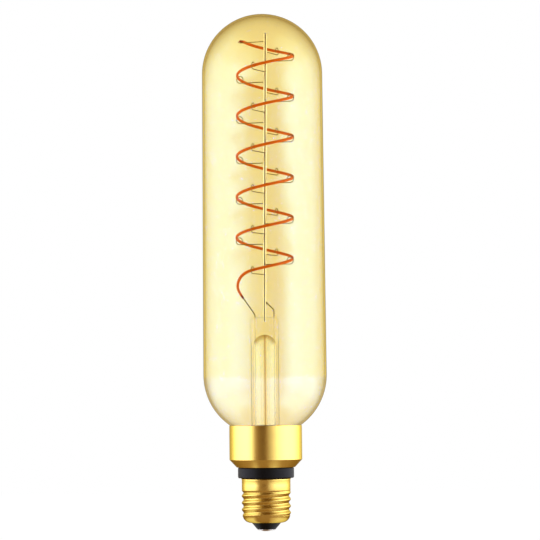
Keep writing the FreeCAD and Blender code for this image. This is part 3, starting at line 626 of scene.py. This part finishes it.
def shell_rings(inset):
    """Rings of the cap shell from its lip down to the insulator's edge, moved inwards by the inset."""
    rings = [round_ring(LIP_RADIUS - inset, LIP_TOP_HEIGHT)]
    rings.append(round_ring(SKIRT_RADIUS - inset, LIP_BOTTOM_HEIGHT))
    rings.append(round_ring(SKIRT_RADIUS - inset, (LIP_BOTTOM_HEIGHT + THREAD_TOP_HEIGHT) / 2))
    for index in range(THREAD_STEPS + 1):
        height = THREAD_TOP_HEIGHT + (THREAD_BOTTOM_HEIGHT - THREAD_TOP_HEIGHT) * index / THREAD_STEPS
        rings.append(thread_ring(height, inset))
    top = Vector((FOOT_TOP_RADIUS, THREAD_BOTTOM_HEIGHT))
    end = Vector((FOOT_EDGE_RADIUS, FOOT_EDGE_HEIGHT))
    chord = end - top
    outward = Vector((-chord.y, chord.x)).normalized()
    for index in range(1, FOOT_STEPS + 1):
        share = index / FOOT_STEPS
        place = top + chord * share + outward * (FOOT_BULGE * 4 * share * (1 - share))
        rings.append(round_ring(place.x - inset, place.y + inset * share))
    return rings


def cap_shell(mat):
    piece = ring_skin("screw_shell", shell_rings(0) + shell_rings(SHELL_SHEET)[::-1], [mat], closed=True)
    stands_for(piece, "cap_shell")


def envelope_outline(inset):
    """Half outline of the glass from its top down to the neck's end, moved inwards by the inset."""
    blend_x = NECK_RADIUS + NECK_BLEND_RADIUS
    reach = TUBE_FOOT_RADIUS + NECK_BLEND_RADIUS
    blend_height = FOOT_CENTRE_HEIGHT - math.sqrt(reach ** 2 - blend_x ** 2)
    blend_angle = math.degrees(math.atan2(blend_height - FOOT_CENTRE_HEIGHT, blend_x))
    blend_centre = (blend_x, blend_height)
    top = arc_points((0, DOME_CENTRE_HEIGHT), TUBE_TOP_RADIUS - inset, 90, 0, DOME_STEPS)
    top[0] = (0, top[0][1])
    foot = arc_points((0, FOOT_CENTRE_HEIGHT), TUBE_FOOT_RADIUS - inset, 0, blend_angle, BULB_FOOT_STEPS)
    blend = arc_points(blend_centre, NECK_BLEND_RADIUS + inset, 180 + blend_angle, 180, NECK_BLEND_STEPS)
    side = []
    for index in range(1, SIDE_STEPS):
        share = index / SIDE_STEPS
        radius = TUBE_TOP_RADIUS + (TUBE_FOOT_RADIUS - TUBE_TOP_RADIUS) * share - inset
        side.append((radius, DOME_CENTRE_HEIGHT + (FOOT_CENTRE_HEIGHT - DOME_CENTRE_HEIGHT) * share))
    return top + side + foot + blend[1:] + [(NECK_RADIUS - inset, NECK_END_HEIGHT)]


def glass_envelope(outer_glass, inner_glass):
    outside = [round_ring(radius, height) for radius, height in envelope_outline(0)]
    inside = [round_ring(radius, height) for radius, height in envelope_outline(ENVELOPE_WALL)]
    piece = ring_skin("envelope_glass", outside + inside[::-1], [outer_glass, inner_glass], len(outside))
    stands_for(piece, "glass_envelope")


def straight_view(nodes, links):
    """1 for what the camera sees straight on or through glass."""
    seen_by = nodes.new("ShaderNodeLightPath").outputs
    return math_node(nodes, links, "MAXIMUM", seen_by["Is Camera Ray"], seen_by["Is Transmission Ray"])


def bearing(nodes, links, place):
    """Degrees round the bulb from the camera's side towards +X."""
    towards_camera = math_node(nodes, links, "MULTIPLY", place["Y"], -1.0)
    turn = math_node(nodes, links, "ARCTAN2", place["X"], towards_camera)
    return math_node(nodes, links, "MULTIPLY", turn, math.degrees(1))


def softbox_lean(nodes, links, degrees, rise_degrees):
    """Degrees by which the right softbox's inner edge lies further out at a height."""
    above = math_node(nodes, links, "SUBTRACT", rise_degrees, LEAN_START)
    lean = math_node(nodes, links, "MULTIPLY", above, LEAN_RATE)
    lean = math_node(nodes, links, "MAXIMUM", lean, 0.0)
    lean = math_node(nodes, links, "MINIMUM", lean, LEAN_MOST)
    grown = step_up(nodes, links, degrees, LEAN_GROWS_FROM, LEAN_WHOLE_FROM)
    left_over = step_up(nodes, links, degrees, LEAN_ENDS_AT, LEAN_WHOLE_TO)
    return math_node(nodes, links, "MULTIPLY", lean, math_node(nodes, links, "MULTIPLY", grown, left_over))


def round_light(nodes, links, degrees):
    return ramp(nodes, links, degrees, ROUND_LIGHT, -180, 180, BRIGHTEST)


def make_world():
    """The studio round the bulb as glass and metal mirror it, and white where it is seen straight."""
    world = bpy.data.worlds.new("studio")
    world.use_nodes = True
    bpy.context.scene.world = world
    nodes = world.node_tree.nodes
    links = world.node_tree.links
    nodes.clear()
    out = nodes.new("ShaderNodeOutputWorld")
    coords = nodes.new("ShaderNodeTexCoord")
    split = nodes.new("ShaderNodeSeparateXYZ")
    links.new(coords.outputs["Generated"], split.inputs[0])
    degrees = bearing(nodes, links, split.outputs)
    rise = math_node(nodes, links, "ARCSINE", split.outputs["Z"], 0)
    rise_degrees = math_node(nodes, links, "MULTIPLY", rise, math.degrees(1))
    lean = softbox_lean(nodes, links, degrees, rise_degrees)
    around = round_light(nodes, links, math_node(nodes, links, "SUBTRACT", degrees, lean))
    upward = ramp(nodes, links, rise_degrees, ROUND_SHARE, -90, 90, 1.0)
    ceiling = ramp(nodes, links, rise_degrees, CEILING_LIGHT, -90, 90, BRIGHTEST)
    lamps = math_node(nodes, links, "MULTIPLY", around, upward)
    room = nodes.new("ShaderNodeBackground")
    level = math_node(nodes, links, "MAXIMUM", lamps, ceiling)
    links.new(light_tint(nodes, links, level), room.inputs["Color"])
    links.new(level, room.inputs["Strength"])
    seen = nodes.new("ShaderNodeBackground")
    seen.inputs["Color"].default_value = (*WHITE, 1)
    seen.inputs["Strength"].default_value = BACKDROP_BRIGHTNESS
    mix = nodes.new("ShaderNodeMixShader")
    links.new(straight_view(nodes, links), mix.inputs[0])
    links.new(room.outputs[0], mix.inputs[1])
    links.new(seen.outputs[0], mix.inputs[2])
    links.new(mix.outputs[0], out.inputs["Surface"])


def floor_material():
    """White where it is seen straight, and a glow of painted studio light and painted bulb shadow where
    glass and metal mirror it.
    """
    mat, nodes, links = new_material("white_floor")
    out = nodes.new("ShaderNodeOutputMaterial")
    diffuse = nodes.new("ShaderNodeBsdfDiffuse")
    diffuse.inputs["Color"].default_value = FLOOR_PAINT
    seen = nodes.new("ShaderNodeEmission")
    seen.inputs["Color"].default_value = (*WHITE, 1)
    seen.inputs["Strength"].default_value = FLOOR_BRIGHTNESS
    coords = nodes.new("ShaderNodeTexCoord")
    length = nodes.new("ShaderNodeVectorMath")
    length.operation = "LENGTH"
    links.new(coords.outputs["Object"], length.inputs[0])
    # Painted shadow of the bulb near its foot and painted light of the softboxes further out, given off as
    # a glow
    share = ramp(nodes, links, length.outputs["Value"], FLOOR_PAINTED_LIGHT_SHARE, 0, FLOOR_SIDE / 2, 1.0)
    around = round_light(nodes, links, bearing(nodes, links, place_on_object(nodes, links)))
    lit = math_node(nodes, links, "MULTIPLY", around, share)
    shine = math_node(nodes, links, "MAXIMUM", lit, FLOOR_LEAST)
    mirrored = nodes.new("ShaderNodeEmission")
    links.new(light_tint(nodes, links, shine), mirrored.inputs["Color"])
    links.new(shine, mirrored.inputs["Strength"])
    glow = nodes.new("ShaderNodeMixShader")
    links.new(straight_view(nodes, links), glow.inputs[0])
    links.new(mirrored.outputs[0], glow.inputs[1])
    links.new(seen.outputs[0], glow.inputs[2])
    mix = nodes.new("ShaderNodeMixShader")
    mix.inputs[0].default_value = FLOOR_GLOW_SHARE
    links.new(diffuse.outputs[0], mix.inputs[1])
    links.new(glow.outputs[0], mix.inputs[2])
    links.new(mix.outputs[0], out.inputs["Surface"])
    return mat


def make_floor():
    mesh = bpy.data.meshes.new("floor")
    side = FLOOR_SIDE / 2
    corners = [(-side, -side, 0), (side, -side, 0), (side, side, 0), (-side, side, 0)]
    mesh.from_pydata(corners, [], [(0, 1, 2, 3)])
    mesh.materials.append(floor_material())
    floor = bpy.data.objects.new("floor", mesh)
    bpy.context.collection.objects.link(floor)


def make_camera():
    data = bpy.data.cameras.new("camera")
    camera = bpy.data.objects.new("camera", data)
    bpy.context.collection.objects.link(camera)
    camera.location = (AIM_SIDE, -CAMERA_DISTANCE, CAMERA_HEIGHT)
    target = Vector((AIM_SIDE, 0, AIM_HEIGHT))
    look = target - camera.location
    turn = look.to_track_quat("-Z", "Y").to_matrix().to_4x4()
    camera.rotation_euler = (turn @ Matrix.Rotation(CAMERA_ROLL, 4, "Z")).to_euler()
    data.sensor_width = SENSOR_WIDTH
    data.lens = SENSOR_WIDTH * look.length / FRAME_WIDTH
    data.clip_end = VIEW_END
    bpy.context.scene.camera = camera


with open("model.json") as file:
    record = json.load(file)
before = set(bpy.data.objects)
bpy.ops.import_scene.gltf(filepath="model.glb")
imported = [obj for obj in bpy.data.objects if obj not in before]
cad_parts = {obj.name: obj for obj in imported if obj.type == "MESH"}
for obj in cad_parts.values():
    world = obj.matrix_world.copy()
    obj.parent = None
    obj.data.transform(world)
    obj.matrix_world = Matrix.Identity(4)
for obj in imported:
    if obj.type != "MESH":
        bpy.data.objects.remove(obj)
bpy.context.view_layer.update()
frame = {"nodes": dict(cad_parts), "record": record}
scene = bpy.context.scene
scene.view_settings.view_transform = "Standard"
scene.cycles.max_bounces = LIGHT_BOUNCES
scene.cycles.transparent_max_bounces = LIGHT_BOUNCES

# Glass, with five values each for the neck in the collar, the neck, the foot, the side and the dome
amber_outside = thin_glass(
    "amber_outside",
    tints=(*((0.955, 0.855, 0.585),) * 3, (0.93, 0.81, 0.44), (0.945, 0.83, 0.475)),
    edge_tints=(*((0.30, 0.23, 0.12),) * 3, (0.08, 0.058, 0.03), (0.46, 0.35, 0.15)),
    edge_powers=(5.0, 5.0, 5.0, 9.0, 2.9),
    mirrors=((0.006, 0.006, 0.006),) * 5,
    edge_mirror=(0.06, 0.045, 0.01),
)
amber_inside = thin_glass(
    "amber_inside",
    tints=((0.992, 0.985, 0.97),) * 5,
    edge_tints=(*((0.70, 0.65, 0.56),) * 3, (0.54, 0.47, 0.29), (0.72, 0.65, 0.54)),
    edge_powers=(5.0, 5.0, 5.0, 9.0, 2.9),
    mirrors=(
        (0.03, 0.03, 0.03), (0.10, 0.27, 0.70), (0.06, 0.17, 0.44), (0.06, 0.18, 0.54), (0.08, 0.15, 0.27),
    ),
    edge_mirror=(0.05, 0.04, 0.02),
    one_sided=True,
)
stem_glass_outside = tube_glass(
    "clear_glass", tint=(0.99, 0.985, 0.97), edge_tint=(0.25, 0.18, 0.05), power=5.0,
)
stem_glass_inside = tube_glass(
    "clear_glass_inside", tint=(0.99, 0.985, 0.96), edge_tint=(0.76, 0.63, 0.32), power=2.6,
    milk=(0.03, 0.09, 0.21), painted_arch_shade=True,
)
exhaust_glass = tube_glass(
    "exhaust_glass", tint=(0.985, 0.975, 0.95), edge_tint=(0.84, 0.76, 0.55), power=3.0,
    core_tint=(0.89, 0.79, 0.52),
)

# Metals and plastics that show
gold = surface(
    "gold_metal", (0.88, 0.60, 0.055), (0.86, 0.585, 0.05), metallic=1.0, roughness=0.25, swing=0.02,
    grain=40.0, bump=0.0000003, stretch=(1, 1, 6), coated=True, Coat_Roughness=0.24, Coat_IOR=2.1,
    Specular_Tint=(0.55, 0.50, 0.25, 1),
)
black = surface(
    "black_plastic", (0.004, 0.004, 0.0045), (0.007, 0.007, 0.0075), metallic=0.0, roughness=0.42,
    swing=0.06, grain=900.0, bump=0.00002, Specular_IOR_Level=0.15,
)
silicone = surface(
    "filament_silicone", (0.70, 0.15, 0.006), (0.63, 0.125, 0.005), metallic=0.0, roughness=0.5,
    swing=0.06, grain=400.0, bump=0.00002, Specular_IOR_Level=0.1,
)
mast_metal = surface(
    "mast_metal", (0.59, 0.60, 0.56), (0.53, 0.54, 0.50), metallic=1.0, roughness=0.2, swing=0.05,
    grain=300.0, bump=0.000003, stretch=(4, 4, 1),
)
hook_metal = surface(
    "hook_wire", (0.30, 0.20, 0.06), (0.24, 0.16, 0.05), metallic=1.0, roughness=0.35, swing=0.06,
    grain=500.0, bump=0.000003, Specular_Tint=(0.55, 0.48, 0.22, 1),
)
lead_metal = sealed_wire("lead_wire_metal", bare=(0.17, 0.11, 0.025), sealed=(0.92, 0.88, 0.72))
terminal_metal = surface(
    "terminal_metal", (0.30, 0.06, 0.01), (0.22, 0.04, 0.01), metallic=1.0, roughness=0.4, swing=0.06,
    grain=500.0, bump=0.000005, Specular_Tint=(0.50, 0.30, 0.15, 1),
)
contact_metal = surface(
    "contact_metal", (0.70, 0.69, 0.66), (0.62, 0.60, 0.57), metallic=1.0, roughness=0.3, swing=0.05,
    grain=300.0, bump=0.000005,
)

# What lies inside the collar and the cap
laminate = surface(
    "board_laminate", (0.02, 0.12, 0.05), (0.03, 0.15, 0.06), metallic=0.0, roughness=0.4, swing=0.05,
    grain=200.0, bump=0.00001,
)
chip_black = surface(
    "chip_black", (0.02, 0.02, 0.022), (0.03, 0.03, 0.03), metallic=0.0, roughness=0.5, swing=0.05,
    grain=900.0, bump=0.00001,
)
sleeve = surface(
    "capacitor_sleeve", (0.02, 0.03, 0.08), (0.03, 0.04, 0.10), metallic=0.0, roughness=0.35, swing=0.05,
    grain=200.0, bump=0.00001,
)
ferrite = surface(
    "ferrite", (0.05, 0.05, 0.05), (0.08, 0.08, 0.08), metallic=0.0, roughness=0.6, swing=0.1,
    grain=600.0, bump=0.00002,
)
resistor = surface(
    "resistor_body", (0.55, 0.45, 0.30), (0.50, 0.40, 0.26), metallic=0.0, roughness=0.4, swing=0.05,
    grain=300.0, bump=0.00001,
)
tinned = surface(
    "tinned_wire", (0.62, 0.62, 0.60), (0.55, 0.55, 0.53), metallic=1.0, roughness=0.35, swing=0.06,
    grain=500.0, bump=0.000003,
)
cement = surface(
    "cement", (0.62, 0.58, 0.50), (0.52, 0.48, 0.40), metallic=0.0, roughness=0.8, swing=0.08,
    grain=500.0, bump=0.00005,
)

# Each carried-over node takes the material of its slot in the frame
by_slot = {
    "amber_glass": amber_outside,
    "clear_glass": stem_glass_outside,
    "gold_metal": gold,
    "black_plastic": black,
    "insulator_black": black,
    "filament_silicone": silicone,
    "mast_metal": mast_metal,
    "hook_wire": hook_metal,
    "lead_wire_metal": lead_metal,
    "terminal_metal": terminal_metal,
    "contact_metal": contact_metal,
    "board_laminate": laminate,
    "chip_black": chip_black,
    "capacitor_sleeve": sleeve,
    "ferrite": ferrite,
    "resistor_body": resistor,
    "tinned_wire": tinned,
    "cement": cement,
}
for part in frame["record"]["subparts"]:
    put(part["node"], by_slot[part["material_slot"]])

glass_envelope(amber_outside, amber_inside)
put("exhaust_tube", exhaust_glass)
stem(stem_glass_outside, stem_glass_inside)
cap_shell(gold)
for hook_index in range(1, HOOK_COUNT + 1):
    hook(hook_index, hook_metal)
make_world()
make_floor()
make_camera()
